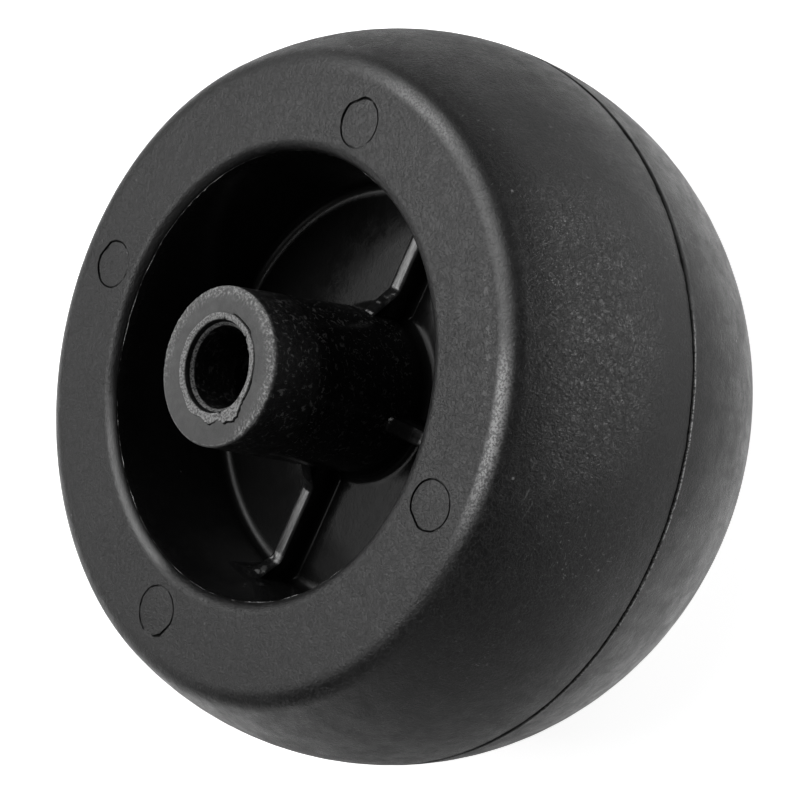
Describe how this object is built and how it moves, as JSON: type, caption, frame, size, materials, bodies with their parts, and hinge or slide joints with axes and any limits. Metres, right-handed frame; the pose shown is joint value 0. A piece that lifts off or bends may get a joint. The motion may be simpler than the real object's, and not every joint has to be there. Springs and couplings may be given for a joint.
{
  "type": "mower deck wheel",
  "caption": "One-piece moulded wheel with a crowned tread, deep ribbed recesses and a long offset hub bored for an axle bolt; keeps a mower deck off the ground.",
  "frame": {"origin": "on the axle line, in the plane of the back rim face that the wheel lies on", "axes": "+Z along the axle, towards the long end of the hub; ribs along X and Y"},
  "size_m": [0.127, 0.127, 0.0733],
  "materials": {
    "black_plastic": "moulded, satin, slightly scuffed"
  },
  "bodies": {
    "root": {"deck_wheel": "black_plastic"}
  },
  "joints": []
}
